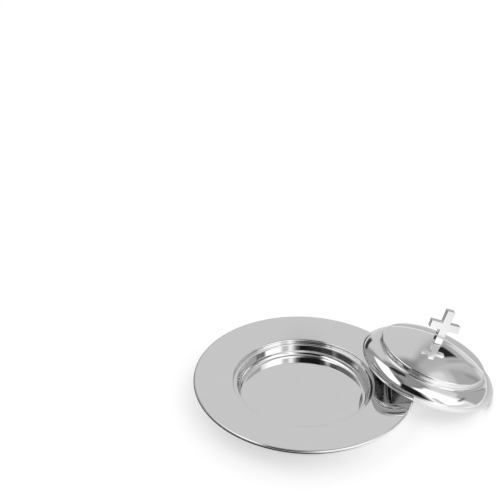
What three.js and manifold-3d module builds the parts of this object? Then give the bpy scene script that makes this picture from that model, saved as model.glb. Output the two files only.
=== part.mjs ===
// A communion bread plate with its cover: a wide-rimmed pressed plate with a stepped well, and a
// domed cover that carries an upright cross, laid with one side on the plate's rim and the other
// on the table. Millimetres, +Z up, origin on the table under the plate's centre.
import * as THREE from 'three';
import { mergeVertices } from 'three/addons/utils/BufferGeometryUtils.js';
import Module from 'manifold-3d';

// Clearance left between pieces that touch
const GAP = 0.3;

// Plate
const PLATE_DIAMETER = 250;
const PLATE_HEIGHT = 27.6;
const RIM_RISE = 8.4;
const PLATE_SHEET = 1.0;
const RIM_ROLL_RADIUS = 1.9;
const RIM_ROLL_TURN = 225;
const MOUTH_DIAMETER = 159.6;
const MOUTH_RADIUS = 1.3;
const SEAT_DEPTH = 3.4;
const SEAT_WIDTH = 4.6;
const SEAT_INNER_RADIUS = 1.3;
const SEAT_OUTER_RADIUS = 1.0;
const WELL_DRAFT = 0.4;
const WELL_FLOOR_RADIUS = 6.6;

// Cover
const SEAT_CLEARANCE = 3.5;
const COVER_SHEET = 1.0;
const LIP_DEPTH = 9.0;
const LIP_TURN_IN = 5.0;
const SHOULDER_WIDTH = 14.8;
const SHOULDER_HEIGHT = 12.0;
const SHOULDER_FLATNESS = 1.4;
const STEP_DIAMETER = 119.8;
const STEP_HEIGHT = 6.6;
const STEP_FOOT_RADIUS = 1.4;
const STEP_TOP_RADIUS = 2.2;
const DOME_RISE = 12.5;
const CROWN_FLAT_DIAMETER = 13;

// How the cover leans
const LEAN_ANGLE = 15.1;
const LEAN_HEADING = 3.4;

// Cross
const CROSS_HEIGHT = 42.5;
const CROSS_SPAN = 33;
const CROSS_BAR = 8.8;
const CROSS_THICKNESS = 7.2;
const CROSS_ARM_CENTRE = 22.6;
const CROSS_EDGE = 0.35;
const CROSS_TURN = -9;

// Fastening
const SCREW_DIAMETER = 3.0;
const SCREW_LENGTH = 11.0;
const SCREW_HEAD_DIAMETER = 5.8;
const SCREW_HEAD_HEIGHT = 2.3;
const SCREW_SLOT_WIDTH = 0.9;
const SCREW_SLOT_DEPTH = 1.1;
const TAPPED_HOLE_SPARE = 2.0;
const WASHER_DIAMETER = 9.0;
const WASHER_THICKNESS = 0.8;
const LOCK_WASHER_DIAMETER = 6.4;
const LOCK_WASHER_THICKNESS = 0.9;
const LOCK_WASHER_SPLIT = 14;

// Facets
const PLATE_SIDES = 64;
const COVER_SIDES = 60;
const SMALL_SIDES = 20;
const ARC_STEP = 30;
const SHOULDER_STEP = 15;

const wasm = await Module();
wasm.setup();

const steel = (colour, roughness) =>
  new THREE.MeshStandardMaterial({ color: colour, metalness: 1, roughness });
const polished = steel(0xd2d3d5, 0.08);
const satin = steel(0xbcbec1, 0.3);

// Points along an elliptic arc, both ends included
function arc(cx, cy, rx, ry, startDeg, endDeg, stepDeg = ARC_STEP) {
  const steps = Math.max(2, Math.ceil(Math.abs(endDeg - startDeg) / stepDeg));
  const points = [];
  for (let i = 0; i <= steps; i += 1) {
    const a = THREE.MathUtils.degToRad(startDeg + ((endDeg - startDeg) * i) / steps);
    points.push(new THREE.Vector2(cx + rx * Math.cos(a), cy + ry * Math.sin(a)));
  }
  return points;
}

// The arc that rounds the corner at b between the straight lines from a and towards c
function bend(a, b, c, radius) {
  const back = a.clone().sub(b).normalize();
  const ahead = c.clone().sub(b).normalize();
  const half = Math.acos(THREE.MathUtils.clamp(back.dot(ahead), -1, 1)) / 2;
  const centre = b.clone().add(back.clone().add(ahead).setLength(radius / Math.sin(half)));
  const start = b.clone().addScaledVector(back, radius / Math.tan(half)).sub(centre);
  const end = b.clone().addScaledVector(ahead, radius / Math.tan(half)).sub(centre);
  const from = THREE.MathUtils.radToDeg(start.angle());
  const turn = THREE.MathUtils.radToDeg(Math.atan2(start.cross(end), start.dot(end)));
  return arc(centre.x, centre.y, radius, radius, from, from + turn);
}

// A run of sheet metal: its middle line with half the sheet laid on either side, open at the axis
// and closed by a round edge at its free end
function sheetOutline(line, sheet) {
  const half = sheet / 2;
  const normals = line.map((p, i) => {
    const before = line[Math.max(i - 1, 0)];
    const after = line[Math.min(i + 1, line.length - 1)];
    const along = after.clone().sub(before).normalize();
    return new THREE.Vector2(-along.y, along.x);
  });
  normals[0].set(0, Math.sign(normals[0].y));
  const side = (sign) => line.map((p, i) => p.clone().addScaledVector(normals[i], sign * half));
  const last = line.length - 1;
  const endAngle = THREE.MathUtils.radToDeg(normals[last].angle());
  const edge = arc(line[last].x, line[last].y, half, half, endAngle, endAngle - 180).slice(1, -1);
  const outline = [...side(1), ...edge, ...side(-1).reverse()];
  outline[0].x = 0;
  outline[outline.length - 1].x = 0;
  return outline;
}

// A body of revolution about Z, one of its corners on +X
function revolve(outline, sides) {
  const area = outline.reduce((sum, p, i) => sum + p.cross(outline[(i + 1) % outline.length]), 0);
  const points = area > 0 ? outline : [...outline].reverse();
  const geometry = new THREE.LatheGeometry(points, sides);
  geometry.rotateX(Math.PI / 2);
  return geometry;
}

// Extrude an outline in X and Z through a thickness centred on Y
function slab(points, thickness, edge) {
  const shape = new THREE.Shape(points);
  const geometry = new THREE.ExtrudeGeometry(shape, {
    depth: thickness - 2 * edge,
    bevelEnabled: edge > 0,
    bevelThickness: edge,
    bevelSize: edge,
    bevelOffset: -edge,
    bevelSegments: 1,
  });
  geometry.translate(0, 0, edge - thickness / 2);
  geometry.rotateX(Math.PI / 2);
  return geometry;
}

function toSolid(geometry) {
  const plain = geometry.clone();
  plain.deleteAttribute('normal');
  plain.deleteAttribute('uv');
  const merged = mergeVertices(plain, 1e-4);
  return new wasm.Manifold(new wasm.Mesh({
    numProp: 3,
    vertProperties: new Float32Array(merged.attributes.position.array),
    triVerts: new Uint32Array(merged.index.array),
  }));
}

function toGeometry(solid) {
  const mesh = solid.getMesh();
  const geometry = new THREE.BufferGeometry();
  geometry.setAttribute('position', new THREE.BufferAttribute(mesh.vertProperties, 3));
  geometry.setIndex(new THREE.BufferAttribute(mesh.triVerts, 1));
  geometry.computeVertexNormals();
  return geometry;
}

function piece(name, geometry, material) {
  const mesh = new THREE.Mesh(geometry, material);
  mesh.name = name;
  return mesh;
}

// Plate: floor, well wall, seat for the cover, gently rising rim and an open rolled edge

const plateRadius = PLATE_DIAMETER / 2;
const mouthRadius = MOUTH_DIAMETER / 2 + PLATE_SHEET / 2;
const mouthLine = PLATE_HEIGHT - RIM_RISE - PLATE_SHEET / 2;
const seatLine = mouthLine - SEAT_DEPTH;
const floorLine = PLATE_SHEET / 2;
const seatInner = mouthRadius - SEAT_WIDTH;
const rollLineRadius = RIM_ROLL_RADIUS - PLATE_SHEET / 2;
const rollCentre = new THREE.Vector2(plateRadius - RIM_ROLL_RADIUS, PLATE_HEIGHT - RIM_ROLL_RADIUS);
const mouthEdge = new THREE.Vector2(mouthRadius, mouthLine);

// The rim runs straight from the mouth and meets the rolled edge as a tangent
const rollOffset = rollCentre.clone().sub(mouthEdge);
const rimSlope = rollOffset.angle() + Math.asin(rollLineRadius / rollOffset.length());
const rimNormal = new THREE.Vector2(-Math.sin(rimSlope), Math.cos(rimSlope));
const rimEnd = rollCentre.clone().addScaledVector(rimNormal, rollLineRadius);

function plateLine() {
  const axis = new THREE.Vector2(0, floorLine);
  const floorCorner = new THREE.Vector2(seatInner - WELL_DRAFT, floorLine);
  const seatEdge = new THREE.Vector2(seatInner, seatLine);
  const seatCorner = new THREE.Vector2(mouthRadius, seatLine);
  const rollStart = 90 + THREE.MathUtils.radToDeg(rimSlope);
  return [
    axis,
    ...bend(axis, floorCorner, seatEdge, WELL_FLOOR_RADIUS),
    ...bend(floorCorner, seatEdge, seatCorner, SEAT_INNER_RADIUS),
    ...bend(seatEdge, seatCorner, mouthEdge, SEAT_OUTER_RADIUS),
    ...bend(seatCorner, mouthEdge, rimEnd, MOUTH_RADIUS),
    ...arc(rollCentre.x, rollCentre.y, rollLineRadius, rollLineRadius, rollStart, 90 - RIM_ROLL_TURN),
  ];
}

// Cover, in its own frame: Z is its axis, and the widest part of the shoulder lies at Z 0

const coverRadius = MOUTH_DIAMETER / 2 - SEAT_CLEARANCE;
const shoulderLine = coverRadius - COVER_SHEET / 2;
const lipLine = shoulderLine - LIP_TURN_IN;
const lipArcRadius = (LIP_TURN_IN ** 2 + LIP_DEPTH ** 2) / (2 * LIP_TURN_IN);
const lipArcAngle = THREE.MathUtils.radToDeg(Math.asin(LIP_DEPTH / lipArcRadius));
const stepLine = STEP_DIAMETER / 2 - COVER_SHEET / 2;
const domeFoot = SHOULDER_HEIGHT + STEP_HEIGHT;
const crownFlat = CROWN_FLAT_DIAMETER / 2;
const domeRadius = (stepLine ** 2 - crownFlat ** 2 + DOME_RISE ** 2) / (2 * DOME_RISE);
const domeCentre = domeFoot + DOME_RISE - domeRadius;
const crownTop = domeFoot + DOME_RISE;
const crownOuter = crownTop + COVER_SHEET / 2;
const crownInner = crownTop - COVER_SHEET / 2;

function domeHeight(r) {
  const reach = Math.sqrt(domeRadius ** 2 + crownFlat ** 2);
  return domeCentre + Math.sqrt(reach ** 2 - r ** 2);
}

// The shoulder from its top to its widest part: an ellipse's quarter whose middle is flattened
function shoulderPoints(centre) {
  return arc(0, 0, 1, 1, 90, 0, SHOULDER_STEP).map((p) => new THREE.Vector2(
    centre + SHOULDER_WIDTH * Math.max(p.x, 0) ** SHOULDER_FLATNESS,
    SHOULDER_HEIGHT * Math.max(p.y, 0) ** SHOULDER_FLATNESS));
}

function coverLine() {
  const axis = new THREE.Vector2(0, crownTop);
  const domeSteps = 7;
  const dome = [];
  for (let i = 0; i < domeSteps; i += 1) {
    const r = crownFlat + ((stepLine - STEP_TOP_RADIUS * 2 - crownFlat) * i) / (domeSteps - 1);
    dome.push(new THREE.Vector2(r, domeHeight(r)));
  }
  const stepEdge = new THREE.Vector2(stepLine, domeHeight(stepLine));
  const stepFoot = new THREE.Vector2(stepLine, SHOULDER_HEIGHT);
  const shoulderTop = new THREE.Vector2(shoulderLine - SHOULDER_WIDTH, SHOULDER_HEIGHT);
  return [
    axis,
    ...dome,
    ...bend(dome[domeSteps - 1], stepEdge, stepFoot, STEP_TOP_RADIUS),
    ...bend(stepEdge, stepFoot, shoulderTop, STEP_FOOT_RADIUS),
    ...shoulderPoints(shoulderTop.x),
    ...arc(shoulderLine - lipArcRadius, 0, lipArcRadius, lipArcRadius, 0, -lipArcAngle, SHOULDER_STEP)
      .slice(1),
  ];
}

// Cross: a tapped hole in its foot takes the screw

const holeRadius = SCREW_DIAMETER / 2 + GAP;
const washerTop = crownInner - GAP;
const lockWasherTop = washerTop - WASHER_THICKNESS - GAP;
const headTop = lockWasherTop - LOCK_WASHER_THICKNESS - GAP;
const crossFoot = crownOuter + GAP;
const tappedDepth = headTop + SCREW_LENGTH - crossFoot + TAPPED_HOLE_SPARE;

function crossOutline() {
  const bar = CROSS_BAR / 2;
  const reach = CROSS_SPAN / 2;
  const armLow = CROSS_ARM_CENTRE - bar;
  const armHigh = CROSS_ARM_CENTRE + bar;
  const right = [[bar, 0], [bar, armLow], [reach, armLow], [reach, armHigh], [bar, armHigh],
    [bar, CROSS_HEIGHT]];
  const left = right.map(([x, y]) => [-x, y]).reverse();
  return [...right, ...left].map(([x, y]) => new THREE.Vector2(x, y));
}

function crossGeometry() {
  const body = slab(crossOutline(), CROSS_THICKNESS, CROSS_EDGE);
  const drill = new THREE.CylinderGeometry(holeRadius, holeRadius, 2 * tappedDepth, SMALL_SIDES);
  drill.rotateX(Math.PI / 2);
  return toGeometry(toSolid(body).subtract(toSolid(drill)));
}

// Screw, flat washer and split lock washer, from the crown downwards

function ringOutline(inner, outer, low, high) {
  return [[inner, low], [outer, low], [outer, high], [inner, high], [inner, low]]
    .map(([r, z]) => new THREE.Vector2(r, z));
}

function screwGeometry() {
  const head = SCREW_HEAD_DIAMETER / 2;
  const shank = SCREW_DIAMETER / 2;
  const point = shank * 0.75;
  const crown = SCREW_HEAD_HEIGHT * 0.45;
  const outline = [[0, -SCREW_HEAD_HEIGHT], [head * 0.62, -SCREW_HEAD_HEIGHT],
    [head * 0.9, -SCREW_HEAD_HEIGHT + crown * 0.45], [head, crown - SCREW_HEAD_HEIGHT], [head, 0],
    [shank, 0], [shank, SCREW_LENGTH - shank + point], [point, SCREW_LENGTH], [0, SCREW_LENGTH]]
    .map(([r, z]) => new THREE.Vector2(r, z));
  const body = revolve(outline, SMALL_SIDES);
  const slot = new THREE.BoxGeometry(2 * SCREW_HEAD_DIAMETER, SCREW_SLOT_WIDTH, 2 * SCREW_SLOT_DEPTH);
  slot.translate(0, 0, -SCREW_HEAD_HEIGHT);
  return toGeometry(toSolid(body).subtract(toSolid(slot)));
}

function lockWasherGeometry() {
  const outer = LOCK_WASHER_DIAMETER / 2;
  const half = LOCK_WASHER_SPLIT / 2;
  const outline = [
    ...arc(0, 0, outer, outer, half, 360 - half),
    ...arc(0, 0, holeRadius, holeRadius, 360 - half, half),
  ];
  const geometry = new THREE.ExtrudeGeometry(new THREE.Shape(outline), {
    depth: LOCK_WASHER_THICKNESS,
    bevelEnabled: false,
  });
  geometry.translate(0, 0, -LOCK_WASHER_THICKNESS);
  return geometry;
}

function drilledCover() {
  const drill = new THREE.CylinderGeometry(holeRadius, holeRadius, 6 * COVER_SHEET, SMALL_SIDES);
  drill.rotateX(Math.PI / 2);
  drill.translate(0, 0, crownTop);
  const shell = revolve(sheetOutline(coverLine(), COVER_SHEET), COVER_SIDES);
  return toGeometry(toSolid(shell).subtract(toSolid(drill)));
}

// Where the leaning cover comes to rest

const lean = THREE.MathUtils.degToRad(LEAN_ANGLE);
const heading = THREE.MathUtils.degToRad(LEAN_HEADING);

// Height of the cover's origin when its lowest point is on the table
function restingHeight() {
  const lowest = sheetOutline(coverLine(), COVER_SHEET)
    .reduce((low, p) => Math.min(low, p.y * Math.cos(lean) - p.x * Math.sin(lean)), Infinity);
  return -lowest;
}

// Clearance between the round edge of the lip and the plate, with the cover's origin at a given
// distance from the plate's axis
function lipClearance(distance, height) {
  const samples = 720;
  let least = Infinity;
  for (let i = 0; i < samples; i += 1) {
    const a = (2 * Math.PI * i) / samples;
    const down = lipLine * Math.cos(a);
    const x = distance + down * Math.cos(lean) - LIP_DEPTH * Math.sin(lean);
    const y = lipLine * Math.sin(a);
    const z = height - down * Math.sin(lean) - LIP_DEPTH * Math.cos(lean);
    const place = new THREE.Vector2(Math.hypot(x, y), z);
    const beside = place.distanceTo(rollCentre) - RIM_ROLL_RADIUS;
    const above = place.clone().sub(rimEnd).dot(rimNormal) - PLATE_SHEET / 2;
    least = Math.min(least, (place.x > rimEnd.x ? beside : above) - COVER_SHEET / 2);
  }
  return least;
}

// The nearest distance at which the lip clears the plate's rolled edge by the usual gap
function restingDistance(height) {
  let near = 0;
  let far = plateRadius + coverRadius;
  for (let i = 0; i < 60; i += 1) {
    const middle = (near + far) / 2;
    if (lipClearance(middle, height) < GAP) near = middle;
    else far = middle;
  }
  return far;
}

const communionPlate = new THREE.Group();
communionPlate.add(piece('plate', revolve(sheetOutline(plateLine(), PLATE_SHEET), PLATE_SIDES), polished));

const cover = new THREE.Group();
cover.add(piece('cover', drilledCover(), polished));

const cross = piece('cross', crossGeometry(), polished);
cross.position.z = crossFoot;
cross.rotation.z = THREE.MathUtils.degToRad(CROSS_TURN);
cover.add(cross);

const flatWasher = piece('flat_washer', revolve(
  ringOutline(holeRadius, WASHER_DIAMETER / 2, -WASHER_THICKNESS, 0), SMALL_SIDES), satin);
flatWasher.position.z = washerTop;
cover.add(flatWasher);

const lockWasher = piece('lock_washer', lockWasherGeometry(), satin);
lockWasher.position.z = lockWasherTop;
cover.add(lockWasher);

const screw = piece('screw', screwGeometry(), satin);
screw.position.z = headTop;
cover.add(screw);

// Tip the cover about Y, then turn it to its heading and set it down
const leaning = new THREE.Group();
leaning.add(cover);
cover.rotation.y = lean;
leaning.rotation.z = heading;
const coverHeight = restingHeight();
const coverDistance = restingDistance(coverHeight);
leaning.position.set(
  coverDistance * Math.cos(heading), coverDistance * Math.sin(heading), coverHeight);
communionPlate.add(leaning);

export default communionPlate;
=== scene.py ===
"""Looks of a communion bread plate and its leaning cover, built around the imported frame.

Everything is in metres in the frame's own axes: +Z up, the origin on the table under the plate's
centre, the camera looking along +Y, and the loose cover leaning over the rim towards +X.
"""

import logging
import math
from dataclasses import dataclass
from enum import Enum
from typing import Optional, Sequence, Union

import bmesh
import bpy
import numpy as np
from mathutils import Matrix, Vector

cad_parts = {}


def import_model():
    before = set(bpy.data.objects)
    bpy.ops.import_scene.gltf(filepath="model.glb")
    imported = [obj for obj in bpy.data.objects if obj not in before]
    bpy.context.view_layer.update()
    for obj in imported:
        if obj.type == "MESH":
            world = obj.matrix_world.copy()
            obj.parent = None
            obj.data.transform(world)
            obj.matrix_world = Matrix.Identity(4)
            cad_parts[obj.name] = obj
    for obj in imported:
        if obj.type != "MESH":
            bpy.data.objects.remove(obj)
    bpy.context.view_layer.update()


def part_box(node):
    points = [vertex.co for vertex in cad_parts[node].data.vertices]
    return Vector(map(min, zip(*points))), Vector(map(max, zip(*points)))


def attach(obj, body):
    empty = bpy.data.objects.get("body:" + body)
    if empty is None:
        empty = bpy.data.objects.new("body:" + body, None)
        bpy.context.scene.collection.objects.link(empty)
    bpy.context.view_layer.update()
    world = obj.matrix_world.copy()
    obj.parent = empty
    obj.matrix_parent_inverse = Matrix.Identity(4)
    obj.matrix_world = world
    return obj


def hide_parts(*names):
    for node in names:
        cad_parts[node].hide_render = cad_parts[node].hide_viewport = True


LOG = logging.getLogger("communion_plate")
MM = 0.001
GAP_MM = 0.3
SCREW_HOLE_MM = 1.8
EDGE_GUARD_MM = 0.15
EDGE_STEPS = 8
CORNER_STEPS = 5
MERGE_DISTANCE = 1e-7
DEGREES = 180 / math.pi
MIX_SHARE, MIX_FIRST, MIX_SECOND, MIX_RESULT = 0, 6, 7, 2
Number = Union["Field", float]
Colour = tuple[float, float, float]


class Slot(Enum):
    """The record's material slots."""

    PLATE = "polished_steel_plate"
    COVER = "polished_steel_cover"
    CROSS = "polished_steel_cross"
    FASTENING = "satin_steel"


# Shader maths


class Field:
    """A shader value that takes part in Python arithmetic: each operator adds a Math node."""

    def __init__(self, graph: "Graph", socket: bpy.types.NodeSocket) -> None:
        """Keeps an output socket and the graph that it belongs to."""
        self.graph = graph
        self.socket = socket

    def __add__(self, other: Number) -> "Field":
        """Sum."""
        return self.graph.math("ADD", self, other)

    def __radd__(self, other: Number) -> "Field":
        """Sum, with the plain number first."""
        return self.graph.math("ADD", other, self)

    def __sub__(self, other: Number) -> "Field":
        """Difference."""
        return self.graph.math("SUBTRACT", self, other)

    def __rsub__(self, other: Number) -> "Field":
        """Difference, with the plain number first."""
        return self.graph.math("SUBTRACT", other, self)

    def __mul__(self, other: Number) -> "Field":
        """Product."""
        return self.graph.math("MULTIPLY", self, other)

    def __rmul__(self, other: Number) -> "Field":
        """Product, with the plain number first."""
        return self.graph.math("MULTIPLY", other, self)

    def __abs__(self) -> "Field":
        """Absolute value."""
        return self.graph.math("ABSOLUTE", self)


class Graph:
    """The node tree of one material or of the world."""

    def __init__(self, owner: Union[bpy.types.Material, bpy.types.World]) -> None:
        """Empties the owner's node tree.

        Args:
            owner: the material or world whose nodes are built.
        """
        owner.use_nodes = True
        self.tree = owner.node_tree
        self.tree.nodes.clear()

    def node(self, kind: str, settings: dict, sockets: dict) -> bpy.types.Node:
        """Adds one node.

        Args:
            kind: the node's type.
            settings: the node's own settings, set first.
            sockets: values, fields or sockets for its inputs, by name or number.

        Returns:
            The new node.
        """
        made = self.tree.nodes.new(kind)
        for name, value in settings.items():
            setattr(made, name, value)
        for key, value in sockets.items():
            self.feed(made.inputs[key], value)
        return made

    def feed(self, socket: bpy.types.NodeSocket, value: object) -> None:
        """Links a field or socket to an input, or sets a plain value on it.

        Args:
            socket: the input.
            value: a field, an output socket or a plain value.
        """
        if isinstance(value, Field):
            value = value.socket
        if isinstance(value, bpy.types.NodeSocket):
            self.tree.links.new(value, socket)
        else:
            socket.default_value = value

    def math(self, operation: str, *values: Number) -> Field:
        """Adds a Math node and returns its result."""
        made = self.node("ShaderNodeMath", {"operation": operation}, dict(enumerate(values)))
        return Field(self, made.outputs[0])

    def step(self, value: Number, low: float, high: float) -> Field:
        """A smooth step: 3 t^2 - 2 t^3, with t going from 0 at low to 1 at high.

        Args:
            value: the value that is compared.
            low: where the step is 0.
            high: where it is 1, above low or below it.

        Returns:
            The step, between 0 and 1.
        """
        start, end = (low, high) if low < high else (high, low)
        sockets = {"Value": value, "From Min": start, "From Max": end}
        made = self.node("ShaderNodeMapRange", {"interpolation_type": "SMOOTHSTEP"}, sockets)
        rising = Field(self, made.outputs["Result"])
        return rising if low < high else 1.0 - rising

    def split(self, vector: bpy.types.NodeSocket) -> tuple[Field, Field, Field]:
        """The three parts of a vector."""
        made = self.node("ShaderNodeSeparateXYZ", {}, {"Vector": vector})
        return tuple(Field(self, socket) for socket in made.outputs)

    def noise(self, vector: bpy.types.NodeSocket, scale: float, detail: float) -> Field:
        """Noise between 0 and 1 at a place, with a scale in waves per metre."""
        sockets = {"Vector": vector, "Scale": scale, "Detail": detail}
        return Field(self, self.node("ShaderNodeTexNoise", {}, sockets).outputs["Fac"])

    def noise_along(self, value: Field, scale: float, detail: float) -> Field:
        """Noise between 0 and 1 along a single value.

        Args:
            value: the value.
            scale: waves for each unit of it.
            detail: how many finer layers of noise it has.

        Returns:
            The noise.
        """
        sockets = {"W": value, "Scale": scale, "Detail": detail}
        made = self.node("ShaderNodeTexNoise", {"noise_dimensions": "1D"}, sockets)
        return Field(self, made.outputs["Fac"])

    def seen(self, *rays: str) -> Field:
        """1 for rays of the given kinds and 0 for all others.

        Args:
            rays: the kinds' short names.

        Returns:
            The largest of the kinds' values.
        """
        path = self.node("ShaderNodeLightPath", {}, {}).outputs
        total = 0.0
        for name in rays:
            total = self.math("MAXIMUM", Field(self, path[f"Is {name} Ray"]), total)
        return total

    def grey(self, value: Number) -> bpy.types.NodeSocket:
        """A grey colour of the given level."""
        made = self.node("ShaderNodeCombineColor", {}, {0: value, 1: value, 2: value})
        return made.outputs[0]

    def tinted(self, colour: Colour, brightness: Field) -> bpy.types.NodeSocket:
        """A colour times a varying brightness.

        Args:
            colour: the colour.
            brightness: its factor.

        Returns:
            The product.
        """
        made = self.node("ShaderNodeMix", {"data_type": "RGBA", "blend_type": "MULTIPLY"}, {
            MIX_SHARE: 1.0, MIX_FIRST: (*colour, 1.0), MIX_SECOND: self.grey(brightness)})
        return made.outputs[MIX_RESULT]


# Where a piece stands


@dataclass(frozen=True)
class Placement:
    """A piece's own frame, set in the shared frame: tipped about Y, then turned about Z.

    Attributes:
        origin: the own frame's origin, in metres.
        lean: the tip about Y, in degrees.
        heading: the turn about Z, in degrees.
    """

    origin: tuple[float, float, float] = (0.0, 0.0, 0.0)
    lean: float = 0.0
    heading: float = 0.0

    def rotation(self) -> np.ndarray:
        """The turn about Z times the tip about Y.

        Returns:
            The 3 by 3 matrix.
        """
        tip, turn = math.radians(self.lean), math.radians(self.heading)
        about_y = np.array([[math.cos(tip), 0, math.sin(tip)],
                            [0, 1, 0],
                            [-math.sin(tip), 0, math.cos(tip)]])
        about_z = np.array([[math.cos(turn), -math.sin(turn), 0],
                            [math.sin(turn), math.cos(turn), 0],
                            [0, 0, 1]])
        return about_z @ about_y

    def apply(self, points: np.ndarray) -> np.ndarray:
        """Points of the own frame, in the shared frame."""
        return points @ self.rotation().T + np.array(self.origin)

    def own_coordinates(self, graph: Graph) -> bpy.types.NodeSocket:
        """Object coordinates brought back to the piece's own frame.

        Args:
            graph: the material's graph.

        Returns:
            The place in the own frame, in metres.
        """
        place = graph.node("ShaderNodeTexCoord", {}, {}).outputs["Object"]
        turned = (0.0, math.radians(self.lean), math.radians(self.heading))
        sockets = {"Vector": place, "Location": self.origin, "Rotation": turned}
        return graph.node("ShaderNodeMapping", {"vector_type": "TEXTURE"}, sockets).outputs[0]


# Finishes


@dataclass(frozen=True)
class PolishedSteel:
    """Mirror-polished stainless steel with the faint rings and smears that polishing leaves.

    Attributes:
        colour: the metal's reflection colour.
        roughness: roughness of the clean polish.
        smear: roughness added where the metal has been handled.
        smear_waves: smears per metre.
        smear_share: the noise levels at which a smear begins and is full.
        ring_pitch: distance between polishing rings, in metres.
        ring_height: height of the rings, in metres.
        ring_change: share of the roughness that changes from ring to ring.
        tint: how far the colour's brightness wanders.
        tint_waves: waves of that per metre.
    """

    colour: Colour = (0.90, 0.90, 0.905)
    roughness: float = 0.03
    smear: float = 0.03
    smear_waves: float = 28.0
    smear_share: tuple[float, float] = (0.45, 0.75)
    ring_pitch: float = 0.0009
    ring_height: float = 0.0000006
    ring_change: float = 0.4
    tint: float = 0.03
    tint_waves: float = 60.0

    def material(self, name: str, placement: Placement) -> bpy.types.Material:
        """Builds the material.

        Args:
            name: the material's name.
            placement: the frame whose Z axis the rings go round.

        Returns:
            The material.
        """
        made = bpy.data.materials.new(name)
        graph = Graph(made)
        place = placement.own_coordinates(graph)
        x, y, _ = graph.split(place)
        radius = graph.math("SQRT", x * x + y * y)
        rings = graph.noise_along(radius, 1.0 / self.ring_pitch, detail=2.0)
        smears = graph.noise(place, self.smear_waves, detail=3.0)
        smears = graph.step(smears, *self.smear_share)
        change = self.ring_change * self.roughness
        roughness = smears * self.smear + rings * change + (self.roughness - change / 2)
        tint = graph.noise(place, self.tint_waves, detail=2.0)
        colour = graph.tinted(self.colour, tint * self.tint + (1 - self.tint / 2))
        bump = graph.node("ShaderNodeBump", {}, {"Height": rings, "Distance": self.ring_height})
        shader = graph.node("ShaderNodeBsdfPrincipled", {}, {
            "Base Color": colour, "Metallic": 1.0, "Roughness": roughness,
            "Normal": bump.outputs[0]})
        graph.node("ShaderNodeOutputMaterial", {}, {"Surface": shader.outputs[0]})
        return made


# Profiles


@dataclass(frozen=True)
class Run:
    """A stretch of a profile: points in radius and height, and the unit normals left of travel."""

    points: np.ndarray
    normals: np.ndarray


def arc(centre: Sequence[float], radii: Sequence[float], start: float, end: float,
        steps: int) -> Run:
    """Points on an elliptic arc, centre plus radii times (cos a, sin a), a in equal steps.

    Args:
        centre: the ellipse's centre.
        radii: its half-widths along radius and height.
        start: first angle in degrees.
        end: last angle in degrees.
        steps: number of steps.

    Returns:
        The run, both ends included.
    """
    angle = np.radians(np.linspace(start, end, steps + 1))
    unit = np.stack([np.cos(angle), np.sin(angle)], axis=-1)
    size = np.array(radii, float)
    normals = unit * size[::-1] * (-1.0 if end > start else 1.0)
    normals /= np.linalg.norm(normals, axis=-1, keepdims=True)
    return Run(np.array(centre, float) + size * unit, normals)


def straight(a: np.ndarray, b: np.ndarray, spacing: float) -> Run:
    """Points on a line, with two more beside each end, so that shading stays flat between them.

    Args:
        a: first point.
        b: last point.
        spacing: largest distance between the inner points.

    Returns:
        The run, both ends included.
    """
    length = float(np.linalg.norm(b - a))
    along = (b - a) / length
    guard = min(EDGE_GUARD_MM, length / 4)
    inner = np.linspace(guard, length - guard, max(2, int(length / spacing) + 1))
    places = np.concatenate([[0.0], inner, [length]])
    normal = np.array([-along[1], along[0]])
    return Run(a + places[:, None] * along, np.tile(normal, (len(places), 1)))


def bend(a: np.ndarray, b: np.ndarray, c: np.ndarray, radius: float, steps: int) -> Run:
    """The arc that rounds a corner between two straight lines.

    Its centre lies on the corner's bisector, radius / sin(half the corner's angle) away, and it
    touches the lines radius / tan(half the corner's angle) away.

    Args:
        a: a point on the first line.
        b: the corner.
        c: a point on the second line.
        radius: the arc's radius.
        steps: number of steps.

    Returns:
        The run, both ends included.
    """
    back = (a - b) / np.linalg.norm(a - b)
    ahead = (c - b) / np.linalg.norm(c - b)
    half = math.acos(float(np.clip(back @ ahead, -1, 1))) / 2
    middle = (back + ahead) / np.linalg.norm(back + ahead)
    centre = b + middle * radius / math.sin(half)
    start = b + back * radius / math.tan(half) - centre
    end = b + ahead * radius / math.tan(half) - centre
    first = math.degrees(math.atan2(start[1], start[0]))
    turn = math.degrees(math.atan2(start[0] * end[1] - start[1] * end[0], float(start @ end)))
    return arc(centre, (radius, radius), first, first + turn, steps)


def curve(radius: np.ndarray, height: np.ndarray, slope: np.ndarray) -> Run:
    """A run given as a height over the radius, travelled outwards: its normals are (-slope, 1).

    Args:
        radius: the points' radii.
        height: their heights.
        slope: the height's slope at each.

    Returns:
        The run.
    """
    normals = np.stack([-slope, np.ones_like(slope)], axis=-1)
    normals /= np.linalg.norm(normals, axis=-1, keepdims=True)
    return Run(np.stack([radius, height], axis=-1), normals)


def rounded(corners: Sequence[Sequence[float]], radii: Sequence[float], steps: int,
            spacing: float) -> list[Run]:
    """Straight lines through a row of corners, each inner corner rounded.

    Args:
        corners: the points, first and last included.
        radii: one radius for each inner corner.
        steps: steps in each rounding.
        spacing: largest distance between points on a straight line.

    Returns:
        The runs in order.
    """
    points = [np.array(p, float) for p in corners]
    bends = [bend(*points[i:i + 3], radii[i], steps) for i in range(len(radii))]
    starts = [points[0], *[run.points[-1] for run in bends]]
    ends = [*[run.points[0] for run in bends], points[-1]]
    runs = [straight(starts[0], ends[0], spacing)]
    for i, run in enumerate(bends):
        runs += [run, straight(starts[i + 1], ends[i + 1], spacing)]
    return runs


def joined(runs: Sequence[Run]) -> Run:
    """One run out of several, each starting where the one before it ends.

    Args:
        runs: the runs in order.

    Returns:
        The whole run, without the doubled points.
    """
    points = [runs[0].points, *[run.points[1:] for run in runs[1:]]]
    normals = [runs[0].normals, *[run.normals[1:] for run in runs[1:]]]
    return Run(np.concatenate(points), np.concatenate(normals))


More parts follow.
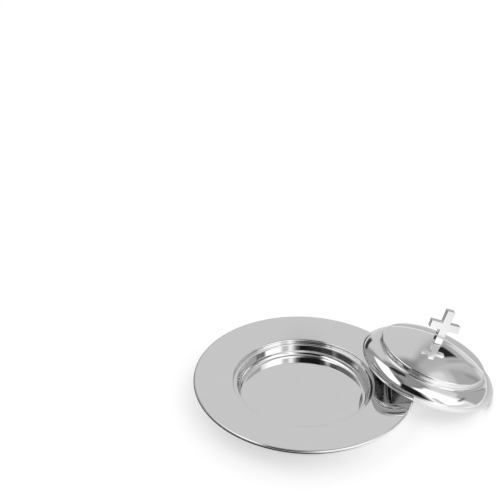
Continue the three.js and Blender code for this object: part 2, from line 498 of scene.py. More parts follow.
def sheet_outline(line: Run, sheet: float) -> np.ndarray:
    """A sheet's section: half the sheet on either side of its middle line, one round edge.

    Args:
        line: the middle line, its free edge last.
        sheet: the sheet's thickness.

    Returns:
        The outline's points, the two sides' inner ends first and last.
    """
    half = sheet / 2
    left = line.points + half * line.normals
    right = line.points - half * line.normals
    normal = line.normals[-1]
    first = math.degrees(math.atan2(normal[1], normal[0]))
    edge = arc(line.points[-1], (half, half), first, first - 180, EDGE_STEPS).points[1:-1]
    return np.concatenate([left, edge, right[::-1]])


# Meshes


def grid_mesh(name: str, *grids: tuple[np.ndarray, bool]) -> bpy.types.Mesh:
    """Closed surfaces on grids of points whose columns run all the way round.

    Args:
        name: the mesh's name.
        grids: for each surface its points, rows by columns by 3 in metres, and whether the last
            row joins the first.

    Returns:
        The mesh, its coinciding points merged. Its faces look outwards: those of a surface with a
        negative volume, the sum of a . (b x c + c x d) over its quads, are turned round.
    """
    flats, faces, count = [], [], 0
    for points, closed in grids:
        rows, columns = points.shape[:2]
        index = np.arange(rows * columns).reshape(rows, columns)
        low = index if closed else index[:-1]
        high = np.roll(index, -1, axis=0) if closed else index[1:]
        quads = np.stack([low, np.roll(low, -1, 1), np.roll(high, -1, 1), high], axis=-1)
        quads = quads.reshape(-1, 4)
        flat = points.reshape(-1, 3)
        a, b, c, d = (flat[quads[:, k]] for k in range(4))
        volume = np.einsum("ij,ij->", a, np.cross(b, c) + np.cross(c, d))
        faces.append((quads if volume > 0 else quads[:, ::-1]) + count)
        flats.append(flat)
        count += len(flat)
    flat, quads = np.concatenate(flats), np.concatenate(faces)
    mesh = bpy.data.meshes.new(name)
    mesh.vertices.add(len(flat))
    mesh.vertices.foreach_set("co", flat.astype(np.float32).ravel())
    mesh.loops.add(quads.size)
    mesh.loops.foreach_set("vertex_index", quads.astype(np.int32).ravel())
    mesh.polygons.add(len(quads))
    mesh.polygons.foreach_set("loop_start", np.arange(0, quads.size, 4, dtype=np.int32))
    mesh.update(calc_edges=True)
    merge_points(mesh)
    mesh.polygons.foreach_set("use_smooth", np.ones(len(mesh.polygons), bool))
    mesh.update()
    return mesh


def merge_points(mesh: bpy.types.Mesh) -> None:
    """Merges coinciding points, which closes the poles of a surface of revolution.

    Args:
        mesh: the mesh, changed in place.
    """
    work = bmesh.new()
    work.from_mesh(mesh)
    bmesh.ops.remove_doubles(work, verts=work.verts, dist=MERGE_DISTANCE)
    work.to_mesh(mesh)
    work.free()


def revolved(outline: np.ndarray, sides: int) -> np.ndarray:
    """A section carried round the Z axis: (r cos a, r sin a, h) over section points and angles.

    Args:
        outline: section points as radius and height, in millimetres.
        sides: steps round the axis.

    Returns:
        Rows by columns by 3, in metres.
    """
    angle = np.linspace(0, 2 * math.pi, sides, endpoint=False)
    radius, height = outline[:, :1], outline[:, 1:]
    height = np.broadcast_to(height, (len(outline), sides))
    return np.stack([radius * np.cos(angle), radius * np.sin(angle), height], axis=-1) * MM


def shown(name: str, mesh: bpy.types.Mesh, material: bpy.types.Material, body: str,
          node: str) -> bpy.types.Object:
    """Puts a finished mesh in the scene in place of a CAD node.

    Args:
        name: the piece's name.
        mesh: its mesh, in the shared frame.
        material: its material.
        body: the body that it rides on.
        node: the CAD node that it stands for.

    Returns:
        The new object.
    """
    piece = bpy.data.objects.new(name, mesh)
    bpy.context.scene.collection.objects.link(piece)
    mesh.materials.append(material)
    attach(piece, body)
    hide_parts(node)
    LOG.info("%s: %d faces, rides on %s", name, len(mesh.polygons), body)
    return piece


# Plate


@dataclass
class Plate:
    """The pressed plate: floor, well wall, ledge for the cover, rising rim and open rolled edge.

    Sizes are in millimetres and angles in degrees.
    """

    diameter: float = 250.0
    height: float = 27.6
    rim_rise: float = 8.4
    sheet: float = 1.0
    roll_radius: float = 1.9
    roll_turn: float = 225.0
    mouth_diameter: float = 159.6
    mouth_radius: float = 1.3
    seat_depth: float = 3.4
    seat_width: float = 4.6
    seat_inner_radius: float = 1.3
    seat_outer_radius: float = 1.0
    well_draft: float = 0.4
    floor_radius: float = 6.6
    round_steps: int = 16
    curl_steps: int = 30
    straight_step: float = 5.0
    sides: int = 360
    finish: PolishedSteel = PolishedSteel()

    def line(self) -> Run:
        """The sheet's middle line, from the axis to the rolled edge.

        The rim runs straight from the mouth and meets the rolled edge as a tangent: its slope is
        the angle to the roll's centre plus asin(roll radius / distance).

        Returns:
            The run.
        """
        low = self.height - self.rim_rise - self.sheet / 2
        floor = self.sheet / 2
        mouth = (self.mouth_diameter + self.sheet) / 2
        seat = mouth - self.seat_width
        roll = np.array([self.diameter / 2, self.height]) - self.roll_radius
        curl = self.roll_radius - self.sheet / 2
        away = roll - (mouth, low)
        slope = math.atan2(away[1], away[0]) + math.asin(curl / float(np.linalg.norm(away)))
        start, end = 90 + math.degrees(slope), 90 - self.roll_turn
        edge = arc(roll, (curl, curl), start, end, self.curl_steps)
        corners = [(0, floor), (seat - self.well_draft, floor), (seat, low - self.seat_depth),
                   (mouth, low - self.seat_depth), (mouth, low), edge.points[0]]
        radii = [self.floor_radius, self.seat_inner_radius, self.seat_outer_radius,
                 self.mouth_radius]
        return joined([*rounded(corners, radii, self.round_steps, self.straight_step), edge])

    def build(self) -> bpy.types.Object:
        """Makes the plate in place of its CAD node.

        Returns:
            The plate's object.
        """
        outline = sheet_outline(self.line(), self.sheet)
        outline[[0, -1], 0] = 0
        mesh = grid_mesh("pressed_plate", (revolved(outline, self.sides), False))
        material = self.finish.material("polished_plate", Placement())
        return shown("pressed_plate", mesh, material, "plate", "plate")


# Cover


@dataclass
class Cover:
    """The domed cover: crown, dome, step, rounded shoulder and turned-in lip, in its own frame.

    Z is its axis, with the widest part of the shoulder at height 0. Sizes are in millimetres and
    angles in degrees.
    """

    diameter: float = 152.6
    sheet: float = 1.0
    lip_depth: float = 9.0
    lip_turn_in: float = 5.0
    shoulder_width: float = 14.8
    shoulder_height: float = 12.0
    shoulder_flatness: float = 1.4
    step_diameter: float = 119.8
    step_height: float = 6.6
    step_foot_radius: float = 1.4
    step_top_radius: float = 2.2
    dome_rise: float = 12.5
    crown_flat: float = 6.5
    crown_sharpness: float = 14.0
    crown_reach: float = 10.0
    crown_points: int = 18
    dome_points: int = 26
    hole_radius: float = SCREW_HOLE_MM
    lean: float = 15.1
    heading: float = 3.4
    round_steps: int = 9
    shoulder_steps: int = 48
    lip_steps: int = 14
    straight_step: float = 2.5
    sides: int = 320
    finish: PolishedSteel = PolishedSteel()
    # The inside's polished steel is given a dark colour, 0.30 against 0.90 outside: painted shade
    # for the hollow under the cover, which the plate's rim mirrors.
    inside: PolishedSteel = PolishedSteel((0.30, 0.30, 0.305), 0.10, 0.05)

    def crown_height(self) -> float:
        """Height of the crown's middle line."""
        return self.shoulder_height + self.step_height + self.dome_rise

    def dome(self, radius: np.ndarray) -> np.ndarray:
        """The dome's middle line: a sphere's cap that ends in the crown's flat.

        The height is top - b + sqrt(b^2 + f^2 - s^2): the sphere's centre lies b below the top,
        f is the flat's radius, and s = (r^p + f^p)^(1/p) stands for the distance r from the axis.

        Args:
            radius: distances from the axis.

        Returns:
            The heights.
        """
        edge = (self.step_diameter - self.sheet) / 2
        ball = (edge**2 - self.crown_flat**2 + self.dome_rise**2) / (2 * self.dome_rise)
        power = self.crown_sharpness
        held = (radius**power + self.crown_flat**power) ** (1 / power)
        return self.crown_height() - ball + np.sqrt(ball**2 + self.crown_flat**2 - held**2)

    def shoulder(self, centre: float) -> Run:
        """The shoulder from its top to its widest part.

        The point at angle a is (centre + width cos^p a, height sin^p a): an ellipse's quarter for
        p = 1, flattened in its middle for a larger p.

        Args:
            centre: the radius at its top.

        Returns:
            The run.
        """
        power, wide, high = self.shoulder_flatness, self.shoulder_width, self.shoulder_height
        angle = np.radians(np.linspace(90, 0, self.shoulder_steps + 1))
        run, rise = np.clip(np.cos(angle), 0, 1), np.clip(np.sin(angle), 0, 1)
        points = np.stack([centre + wide * run**power, high * rise**power], axis=-1)
        normals = np.stack([high * run ** (2 - power), wide * rise ** (2 - power)], axis=-1)
        return Run(points, normals / np.linalg.norm(normals, axis=-1, keepdims=True))

    def line(self) -> Run:
        """The sheet's middle line, from the crown's hole to the lip.

        The lip turns in by t over a depth d, on an arc of radius (t^2 + d^2) / (2 t).

        Returns:
            The run.
        """
        edge = (self.step_diameter - self.sheet) / 2
        shoulder = (self.diameter - self.sheet) / 2
        last = edge - 2 * self.step_top_radius
        crown = np.linspace(self.hole_radius, self.crown_reach, self.crown_points)
        radius = np.append(crown, np.linspace(self.crown_reach, last, self.dome_points)[1:])
        small = 1e-3
        slope = (self.dome(radius + small) - self.dome(radius - small)) / (2 * small)
        top = curve(radius, self.dome(radius), slope)
        step_edge = top.points[-1] + (edge - last) * np.array([1, slope[-1]])
        shoulder_top = (shoulder - self.shoulder_width, self.shoulder_height)
        corners = [top.points[-1], step_edge, (edge, self.shoulder_height), shoulder_top]
        radii = [self.step_top_radius, self.step_foot_radius]
        bulge = self.shoulder(shoulder_top[0])
        lip = (self.lip_turn_in**2 + self.lip_depth**2) / (2 * self.lip_turn_in)
        sweep = math.degrees(math.asin(self.lip_depth / lip))
        turned = arc((shoulder - lip, 0), (lip, lip), 0, -sweep, self.lip_steps)
        step = rounded(corners, radii, self.round_steps, self.straight_step)
        return joined([top, *step, bulge, turned])

    def placement(self, surface: np.ndarray) -> Placement:
        """Where the cover lies: its lowest point on the table, over the middle of its CAD node.

        Args:
            surface: the cover's points in its own frame, in metres.

        Returns:
            The cover's placement.
        """
        turned = Placement((0, 0, 0), self.lean, self.heading).apply(surface.reshape(-1, 3))
        low, high = turned.min(axis=0), turned.max(axis=0)
        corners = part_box("cover")
        middle = (np.array(corners[0]) + np.array(corners[1])) / 2
        shift = middle - (low + high) / 2
        return Placement((shift[0], shift[1], corners[0][2] - low[2]), self.lean, self.heading)

    def build(self) -> Placement:
        """Makes the cover in place of its CAD node.

        Returns:
            The cover's placement, for the pieces fastened to it.
        """
        line = self.line()
        surface = revolved(sheet_outline(line, self.sheet), self.sides)
        placement = self.placement(surface)
        mesh = grid_mesh("domed_cover", (placement.apply(surface), True))
        material = self.finish.material("polished_cover", placement)
        piece = shown("domed_cover", mesh, material, "cover", "cover")
        # The faces inside the lip get the dark inside material: painted shade in the cover's
        # hollow.
        piece.data.materials.append(self.inside.material("cover_inside_painted_shade", placement))
        inner = np.arange(len(surface)) > len(line.points) + EDGE_STEPS // 2
        numbers = np.repeat(inner, self.sides).astype(np.int32)
        mesh.polygons.foreach_set("material_index", numbers)
        return placement


# Cross


@dataclass
class Cross:
    """The upright cross: square bars with softened edges, and a screw hole up from its foot.

    Sizes are in millimetres and angles in degrees.
    """

    height: float = 42.5
    span: float = 33.0
    bar: float = 8.8
    thickness: float = 7.2
    arm_centre: float = 22.6
    edge: float = 0.4
    edge_steps: int = 4
    turn: float = -9.0
    foot_angle: float = -135.0
    hole_radius: float = SCREW_HOLE_MM
    hole_depth: float = 9.1
    hole_sides: int = 48
    gap: float = GAP_MM
    finish: PolishedSteel = PolishedSteel()

    def outline(self) -> np.ndarray:
        """The right half's corners from the foot up, then the left half's from the top down.

        Returns:
            Twelve rows of width and height.
        """
        bar, reach = self.bar / 2, self.span / 2
        low, high = self.arm_centre - bar, self.arm_centre + bar
        right = [(bar, 0), (bar, low), (reach, low), (reach, high), (bar, high), (bar, self.height)]
        return np.array([*right, *[(-x, z) for x, z in reversed(right)]])

    def hole(self, first: int, corners: Sequence[int]) -> tuple[np.ndarray, list[list[int]]]:
        """The hole's two circles, (r cos a, r sin a) at the foot and at its end, with its faces.

        The angle a starts towards the foot's first corner.

        Args:
            first: number of the first new point.
            corners: numbers of the foot's four corners, counterclockwise from above.

        Returns:
            The points, and the faces: its wall, four about its mouth, and its end.
        """
        angle = np.radians(np.arange(self.hole_sides) * 360 / self.hole_sides + self.foot_angle)
        circle = self.hole_radius * np.stack([np.cos(angle), np.sin(angle)], axis=-1)
        heights = (0.0, self.hole_depth)
        points = np.concatenate([np.insert(circle, 2, height, axis=1) for height in heights])
        mouth = first + np.arange(self.hole_sides)
        end = mouth + self.hole_sides
        wall = np.stack([np.roll(mouth, -1), mouth, end, np.roll(end, -1)], axis=-1).tolist()
        quarters = np.append(mouth, first).tolist()
        step = self.hole_sides // 4
        foot = [[corners[k], *quarters[k * step:(k + 1) * step + 1], corners[(k + 1) % 4]]
                for k in range(4)]
        return points, [*wall, *foot, end[::-1].tolist()]

    def build(self, cover: Cover, placement: Placement) -> bpy.types.Object:
        """Makes the cross in place of its CAD node.

        Args:
            cover: the cover that it stands on.
            placement: where the cover lies.

        Returns:
            The cross's object.
        """
        corners = self.outline()
        count, half, turn = len(corners), self.thickness / 2, math.radians(self.turn)
        hole, hole_faces = self.hole(2 * count, (count - 1, 0, count, 2 * count - 1))
        sides = [np.insert(corners, 1, depth, axis=1) for depth in (-half, half)]
        x, y, z = np.concatenate([*sides, hole]).T
        z = z + cover.crown_height() + cover.sheet / 2 + self.gap
        across = x * math.cos(turn) - y * math.sin(turn)
        along = x * math.sin(turn) + y * math.cos(turn)
        points = placement.apply(np.stack([across, along, z], axis=-1) * MM)
        loop = np.arange(count)
        after = np.roll(loop, -1)
        walls = np.stack([after, loop, loop + count, after + count], axis=-1)[:-1].tolist()
        front, back = loop.tolist(), (loop[::-1] + count).tolist()
        mesh = bpy.data.meshes.new("cross")
        mesh.from_pydata(points, [], [front, back, *walls, *hole_faces])
        material = self.finish.material("polished_cross", placement)
        piece = shown("standing_cross", mesh, material, "cover", "cross")
        mesh.polygons.foreach_set("use_smooth", np.ones(len(mesh.polygons), bool))
        soften = piece.modifiers.new("soft_edges", "BEVEL")
        soften.width = self.edge * MM
        soften.segments = self.edge_steps
        soften.harden_normals = True
        return piece


# Fastening


def rounded_box(low: Sequence[float], high: Sequence[float], radius: float) -> np.ndarray:
    """A rectangle with rounded corners: a quarter circle at each, clockwise from the top right.

    Args:
        low: the smallest radius and height.
        high: the largest radius and height.
        radius: the corners' radius.

    Returns:
        A closed row of points as radius and height.
    """
    left, right = low[0] + radius, high[0] - radius
    bottom, top = low[1] + radius, high[1] - radius
    corners = ((right, top, 90), (right, bottom, 0), (left, bottom, -90), (left, top, -180))
    arcs = [arc((r, z), (radius, radius), angle, angle - 90, CORNER_STEPS)
            for r, z, angle in corners]
    return np.concatenate([corner.points for corner in arcs])


@dataclass(frozen=True)
class SatinSteel:
    """Satin steel of the small fastening parts: a fine grain in its roughness and colour.

    Attributes:
        colour: the metal's reflection colour.
        roughness: its middle roughness.
        grain: how far the roughness wanders.
        grain_waves: waves of that per metre.
        tint: how far the colour's brightness wanders.
        tint_waves: waves of that per metre.
    """

    colour: Colour = (0.56, 0.56, 0.57)
    roughness: float = 0.26
    grain: float = 0.12
    grain_waves: float = 2600.0
    tint: float = 0.10
    tint_waves: float = 420.0

    def material(self, name: str) -> bpy.types.Material:
        """Builds the material.

        Args:
            name: the material's name.

        Returns:
            The material.
        """
        made = bpy.data.materials.new(name)
        graph = Graph(made)
        place = graph.node("ShaderNodeTexCoord", {}, {}).outputs["Object"]
        grain = graph.noise(place, self.grain_waves, detail=3.0)
        roughness = grain * self.grain + (self.roughness - self.grain / 2)
        tint = graph.noise(place, self.tint_waves, detail=2.0)
        colour = graph.tinted(self.colour, tint * self.tint + (1 - self.tint / 2))
        shader = graph.node("ShaderNodeBsdfPrincipled", {}, {
            "Base Color": colour, "Metallic": 1.0, "Roughness": roughness})
        graph.node("ShaderNodeOutputMaterial", {}, {"Surface": shader.outputs[0]})
        return made


@dataclass
class Fastening:
    """Flat washer, split lock washer and slotted screw under the crown.

    Sizes are in millimetres and angles in degrees.
    """

    hole_radius: float = SCREW_HOLE_MM
    gap: float = GAP_MM
    washer_radius: float = 4.5
    washer_thickness: float = 0.8
    washer_edge: float = 0.12
    washer_sides: int = 96
    lock_radius: float = 3.2
    lock_thickness: float = 0.9
    lock_edge: float = 0.08
    lock_split: float = 14.0
    lock_steps: int = 120
    screw_radius: float = 1.5
    screw_length: float = 11.0
    screw_sides: int = 36
    point_radius: float = 1.08
    thread_pitch: float = 0.5
    thread_depth: float = 0.28
    thread_start: float = 0.4
    thread_fade: float = 0.6
    thread_steps: int = 264
    head_radius: float = 2.9
    head_height: float = 2.3
    head_fullness: float = 3.0
    head_rows: int = 27
    head_columns: int = 49
    head_top_columns: int = 11
    head_end: float = 12.0
    slot_width: float = 0.9
    slot_depth: float = 1.1
    slot_rows: int = 5
    slot_clear: float = 0.02
    finish: SatinSteel = SatinSteel()

    def lock_ring(self) -> np.ndarray:
        """The split ring: a rounded section carried round from one end to the other.

        The point at angle a is (r cos a, r sin a, z) for each section point (r, z). The first and
        last rows shrink to the section's middle, which closes the two ends.

        Returns:
            Rows by columns by 3.
        """
        inner, outer = (self.hole_radius, -self.lock_thickness), (self.lock_radius, 0)
        section = rounded_box(inner, outer, self.lock_edge)
        middle = np.broadcast_to(section.mean(axis=0), section.shape)
        half = self.lock_split / 2
        angle = np.radians(np.linspace(half, 360 - half, self.lock_steps + 1))
        rows = np.stack([middle, *[section] * len(angle), middle])
        turn = np.concatenate([angle[:1], angle, angle[-1:]])[:, None]
        radius, height = rows[..., 0], rows[..., 1]
        return np.stack([radius * np.cos(turn), radius * np.sin(turn), height], axis=-1)

    def head(self) -> np.ndarray:
        """The slotted head, as sections across X at a row of places along Y.

        Its underside is z = -h (1 - (sqrt(x^2 + y^2) / R)^p)^(1/p), held up at the slot's floor
        between the slot's two walls.

        Returns:
            Rows by columns by 3.
        """
        half, radius = self.slot_width / 2, self.head_radius
        turned = radius * np.sin(np.radians(np.linspace(90, self.head_end, self.head_rows)))
        side = turned[turned > half + self.slot_clear]
        middle = np.linspace(-half, half, self.slot_rows + 2)[1:-1]
        y = np.concatenate([-side, [-half, -half], middle, [half, half], side[::-1]])
        inside = np.ones(len(y), bool)
        inside[:len(side) + 1] = False
        inside[-len(side) - 1:] = False
        across = -np.cos(np.linspace(0, math.pi, self.head_columns))
        x = np.sqrt(np.clip(radius**2 - y**2, 0, None))[:, None] * across
        share = np.clip(np.hypot(x, y[:, None]) / radius, 0, 1) ** self.head_fullness
        z = -self.head_height * (1 - share) ** (1 / self.head_fullness)
        floor = self.slot_depth - self.head_height
        z = np.where(inside[:, None], np.maximum(z, floor), z)
        top = np.linspace(1, -1, self.head_top_columns + 2)[1:-1] * x[:, -1:]
        x, z = np.concatenate([x, top], axis=1), np.concatenate([z, np.zeros_like(top)], axis=1)
        return np.stack([x, np.broadcast_to(y[:, None], x.shape), z], axis=-1)

    def shank(self) -> np.ndarray:
        """The threaded shank: radius r - d t at height z and angle a.

        t rises from 0 on the crest to 1 in the root, with abs(2 frac(z / pitch - a / 2 pi) - 1),
        and the thread fades in above the head. Towards the screw's point the radius is at most
        the point's radius plus the length that is left.

        Returns:
            Rows by columns by 3.
        """
        z = np.linspace(0, self.screw_length, self.thread_steps + 1)
        z = np.concatenate([z[:1], z, z[-1:]])[:, None]
        angle = np.linspace(0, 2 * math.pi, self.screw_sides, endpoint=False)
        phase = z / self.thread_pitch - angle / (2 * math.pi)
        root = 1 - np.abs(2 * (phase - np.floor(phase)) - 1)
        fade = np.clip((z - self.thread_start) / self.thread_fade, 0, 1)
        radius = self.screw_radius - self.thread_depth * root * fade
        radius = np.minimum(radius, self.point_radius + self.screw_length - z)
        radius[[0, -1]] = 0
        height = np.broadcast_to(z, radius.shape)
        return np.stack([radius * np.cos(angle), radius * np.sin(angle), height], axis=-1)

    def build(self, cover: Cover, placement: Placement) -> None:
        """Makes the three pieces in place of their CAD nodes.

        Args:
            cover: the cover that they hold the cross to.
            placement: where the cover lies.
        """
        metal = self.finish.material("satin_fastening")
        washer_top = cover.crown_height() - cover.sheet / 2 - self.gap
        lock_top = washer_top - self.washer_thickness - self.gap
        head_top = lock_top - self.lock_thickness - self.gap
        inner, outer = (self.hole_radius, -self.washer_thickness), (self.washer_radius, 0)
        section = rounded_box(inner, outer, self.washer_edge)
        washer = revolved(section, self.washer_sides) / MM
        pieces = (("flat_washer", washer_top, ((washer, True),)),
                  ("lock_washer", lock_top, ((self.lock_ring(), False),)),
                  ("screw", head_top, ((self.head(), False), (self.shank(), False))))
        for node, height, grids in pieces:
            placed = [(placement.apply((points + (0, 0, height)) * MM), closed)
                      for points, closed in grids]
            shown(f"fine_{node}", grid_mesh(node, *placed), metal, "cover", node)


# Studio


@dataclass(frozen=True)
class Panel:
    """A soft light, a grey wall or a black flag of the studio, as a patch of the sky.

    Attributes:
        azimuth: the patch's sides, in degrees clockwise from +Y.
        elevation: its lower and upper edge, in degrees above the horizon.
        level: its brightness.
        softness: width of its soft sides, lower edge and upper edge, in degrees.
        face: where the panel is flat, the azimuth that it faces; its straight edges then sink
            away from there.
        slant: degrees of azimuth that its sides move by for each degree of elevation.
    """

    azimuth: tuple[float, float]
    elevation: tuple[float, float]
    level: float
    softness: tuple[float, float, float]
    face: Optional[float] = None
    slant: float = 0.0

    def cover(self, graph: Graph, direction: tuple[Field, Field, Field]) -> Field:
        """How much of the panel lies in a direction, from 0 to 1.

        Args:
            graph: the world's graph.
            direction: the parts of the unit vector towards the sky.

        Returns:
            The share.
        """
        x, y, z = direction
        middle, half = sum(self.azimuth) / 2, (self.azimuth[1] - self.azimuth[0]) / 2
        if self.face is None:
            ahead = graph.math("SQRT", x * x + y * y)
        else:
            ahead = x * math.sin(math.radians(self.face)) + y * math.cos(math.radians(self.face))
        rise = graph.math("ARCTAN2", z, ahead) * DEGREES
        azimuth = graph.math("ARCTAN2", x, y) * DEGREES
        if self.slant:
            azimuth = azimuth - (rise - sum(self.elevation) / 2) * self.slant
        away = abs(graph.math("WRAP", azimuth - middle, 180.0, -180.0))
        side, lower, upper = (soft / 2 for soft in self.softness)
        across = graph.step(away, half + side, half - side)
        above = graph.step(rise, self.elevation[0] - lower, self.elevation[0] + lower)
        below = graph.step(rise, self.elevation[1] + upper, self.elevation[1] - upper)
        return across * above * below


STUDIO_PANELS = (
    # The wall ahead and its darker left side
    Panel((-22, 31), (-30, 57), 0.62, (12, 6, 8)),
    Panel((-37, -23), (-30, 46), 0.31, (8, 6, 16)),
    # The flag on the left
    Panel((-128, -62), (20, 44), 0.19, (24, 14, 5)),
    Panel((-112, -74), (21, 37), 0.06, (10, 8, 8)),
    # The wall on the right
    Panel((40, 140), (-30, 62), 0.46, (10, 6, 9)),
    Panel((68, 140), (-30, 66), 0.72, (56, 6, 7)),
    # The large light behind on the right, dimmer low down and at one place
    Panel((108, 186), (-30, 71), 1.25, (26, 6, 5)),
    Panel((104, 152), (4, 22), 0.74, (16, 8, 8)),
    Panel((146, 160), (20, 47), 0.62, (9, 10, 4)),
    # Patches of grey on the right
    Panel((58, 100), (4, 40), 0.42, (5, 4, 5)),
    Panel((92, 113), (29.5, 33.5), 0.16, (6, 5, 3)),
    Panel((60, 82), (47, 60), 0.76, (9, 8, 7)),
    Panel((35, 61), (-30, 10), 0.71, (6, 6, 4)),
    # The long light high on the left, with a flag above it
    Panel((-135, -78), (66, 79), 0.13, (20, 6, 8)),
    Panel((-132, -35), (49.5, 72), 1.30, (10, 4, 5), -75),
    # The black flag behind the camera
    Panel((-192, -134), (25, 67), 0.10, (18, 16, 8), -146),
    Panel((-181, -134), (28, 66), 0.010, (6, 12, 7), -146),
    # Small flags ahead and overhead
    Panel((36, 46), (18, 31), 0.02, (3, 4, 4)),
    Panel((-28, -5), (7, 20), 0.04, (5, 5, 5)),
    Panel((-32, 32), (68, 81), 0.03, (8, 3, 3)),
    # Narrow strips on the left
    Panel((-142, -120), (22, 32.5), 0.05, (5, 6, 1.5)),
    Panel((-124, -60), (33.5, 36.5), 1.0, (5, 1.5, 1.5)),
    Panel((-142, -107), (38, 44), 0.06, (5, 1.5, 3)),
    # Upright streaks on the right
    Panel((49, 51), (6, 34), 0.35, (5, 6, 8)),
    Panel((52, 55), (12, 52), 0.56, (4, 8, 8), None, 0.15),
    Panel((60, 63), (6, 26), 0.31, (4, 6, 6)),
)


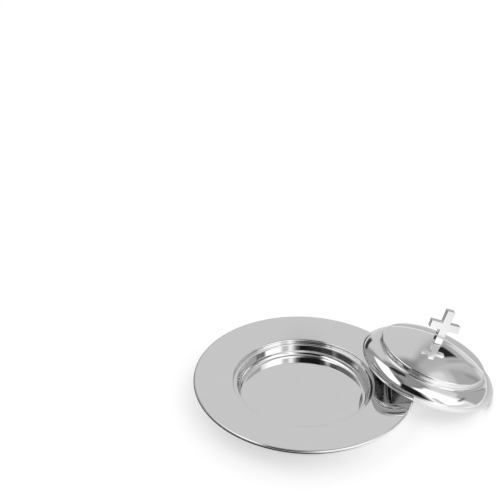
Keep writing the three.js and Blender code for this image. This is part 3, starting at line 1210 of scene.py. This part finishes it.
@dataclass
class Studio:
    """White table, plain soft studio light and the camera at the photograph's viewing angle.

    Attributes:
        focal_pixels: the camera's focal length, in pixels.
        picture_width: the picture's width in those pixels.
        sensor_mm: the camera's sensor width.
        camera_mm: the camera's place.
        pitch: how far the camera looks down, in degrees.
        roll: how far it is turned about its line of sight, in degrees.
        table_half_mm: half the table's width.
        table_drop_mm: how far the table's top lies below the pieces.
        table_colour: the table's colour under light.
        table_glow: the light that it gives off by itself.
        contact_mm: how near a piece darkens the table.
        contact_shade: shares of open sky at which that shadow is full and gone.
        contact_samples: rays for that shadow.
        table_left: the mirrored table's level at the far left.
        table_side: places along X, in metres, between which it grows full.
        table_back: its level at the back.
        table_front: places along Y, in metres, between which it sinks to that.
        table_right: its level at the far right.
        table_far: places along X, in metres, between which it sinks to that.
        wall: the sky's level low down.
        ceiling: its level higher up.
        ceiling_rise: elevations between which wall turns into ceiling, in degrees.
        zenith: its level overhead.
        zenith_rise: elevations between which ceiling turns into zenith, in degrees.
        horizon: elevation below which the metal sees the white backdrop, in degrees.
        panels: the lights, walls and flags, each over those before it.
    """

    focal_pixels: float = 580.0
    picture_width: float = 500.0
    sensor_mm: float = 36.0
    camera_mm: tuple[float, float, float] = (-57.8, -547.2, 430.3)
    pitch: float = 24.35
    roll: float = -1.12
    table_half_mm: float = 20000.0
    table_drop_mm: float = 0.2
    table_colour: float = 0.8
    table_glow: float = 0.60
    contact_mm: float = 27.0
    contact_shade: tuple[float, float] = (0.46, 0.62)
    contact_samples: int = 16
    table_left: float = 0.03
    table_side: tuple[float, float] = (-0.02, 0.13)
    table_back: float = 0.68
    table_front: tuple[float, float] = (0.15, -0.15)
    table_right: float = 0.74
    table_far: tuple[float, float] = (0.15, 0.25)
    wall: float = 0.36
    ceiling: float = 0.27
    ceiling_rise: tuple[float, float] = (54.0, 63.0)
    zenith: float = 0.31
    zenith_rise: tuple[float, float] = (70.0, 90.0)
    horizon: float = 3.0
    panels: tuple[Panel, ...] = STUDIO_PANELS

    def camera(self) -> None:
        """Makes the scene's camera."""
        data = bpy.data.cameras.new("camera")
        data.sensor_width = self.sensor_mm
        data.lens = self.focal_pixels / self.picture_width * self.sensor_mm
        pitch, roll = math.radians(self.pitch), math.radians(self.roll)
        ahead = Vector((0, math.cos(pitch), -math.sin(pitch)))
        over = Vector((0, math.sin(pitch), math.cos(pitch)))
        side = Vector((1, 0, 0))
        right = side * math.cos(roll) + over * math.sin(roll)
        up = over * math.cos(roll) - side * math.sin(roll)
        made = bpy.data.objects.new("camera", data)
        bpy.context.scene.collection.objects.link(made)
        turned = Matrix((right, up, -ahead)).transposed().to_4x4()
        made.matrix_world = Matrix.Translation(Vector(self.camera_mm) * MM) @ turned
        bpy.context.scene.camera = made

    def table(self) -> None:
        """Makes the white table, which keeps the object's shadow."""
        half, z = self.table_half_mm * MM, -self.table_drop_mm * MM
        mesh = bpy.data.meshes.new("table")
        corners = [(-half, -half, z), (half, -half, z), (half, half, z), (-half, half, z)]
        mesh.from_pydata(corners, [], [(0, 1, 2, 3)])
        mesh.materials.append(self.table_material())
        table = bpy.data.objects.new("table", mesh)
        bpy.context.scene.collection.objects.link(table)

    def table_material(self) -> bpy.types.Material:
        """White to the camera, with a soft shadow where something stands close over it.

        The metal sees the same table, dimmer towards the left, the back and the far right.

        Returns:
            The material.
        """
        made = bpy.data.materials.new("white_table")
        graph = Graph(made)
        x, y, _ = graph.split(graph.node("ShaderNodeTexCoord", {}, {}).outputs["Object"])
        right, front = graph.step(x, *self.table_side), graph.step(y, *self.table_front)
        level = front * (1.0 - self.table_back) + (self.table_back - self.table_left)
        level = level * right + self.table_left
        level = level * (1.0 - graph.step(x, *self.table_far) * (1.0 - self.table_right))
        mirrored = graph.seen("Glossy", "Transmission")
        level = 1.0 - mirrored * (1.0 - level)
        contact = graph.node("ShaderNodeAmbientOcclusion", {"samples": self.contact_samples},
                             {"Distance": self.contact_mm * MM})
        open_sky = graph.step(Field(graph, contact.outputs["AO"]), *self.contact_shade)
        lit = open_sky * level * graph.seen("Camera", "Glossy", "Transmission") * self.table_glow
        colour = graph.grey(level * self.table_colour)
        matt = graph.node("ShaderNodeBsdfDiffuse", {}, {"Color": colour})
        glow = graph.node("ShaderNodeEmission", {}, {"Color": graph.grey(lit)})
        both = graph.node("ShaderNodeAddShader", {}, {0: matt.outputs[0], 1: glow.outputs[0]})
        graph.node("ShaderNodeOutputMaterial", {}, {"Surface": both.outputs[0]})
        return made

    def light(self) -> None:
        """Makes the world: white to the camera, and the studio's lights and flags to the metal."""
        world = bpy.data.worlds.new("studio")
        bpy.context.scene.world = world
        graph = Graph(world)
        toward = graph.node("ShaderNodeTexCoord", {}, {}).outputs["Generated"]
        direction = graph.split(toward)
        elevation = graph.math("ARCSINE", direction[2]) * DEGREES
        level = graph.step(elevation, *self.ceiling_rise) * (self.ceiling - self.wall) + self.wall
        level = level + graph.step(elevation, *self.zenith_rise) * (self.zenith - self.ceiling)
        for panel in self.panels:
            level = level + panel.cover(graph, direction) * (panel.level - level)
        low = graph.step(elevation, self.horizon, 0.0)
        mirrored = graph.seen("Glossy", "Transmission") * low
        backdrop = graph.math("MAXIMUM", graph.seen("Camera"), mirrored)
        level = level + backdrop * (1.0 - level)
        shade = graph.node("ShaderNodeBackground", {}, {"Color": graph.grey(level)})
        graph.node("ShaderNodeOutputWorld", {}, {"Surface": shade.outputs[0]})

    def build(self) -> None:
        """Makes the whole studio."""
        self.camera()
        self.table()
        self.light()
        bpy.context.scene.view_settings.view_transform = "Standard"


def main() -> None:
    """Builds the studio and the pieces around the frame."""
    logging.basicConfig(level=logging.INFO, format="%(name)s: %(message)s")
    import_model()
    Studio().build()
    Plate().build()
    cover = Cover()
    placement = cover.build()
    Cross().build(cover, placement)
    Fastening().build(cover, placement)


if __name__ == "__main__":
    main()
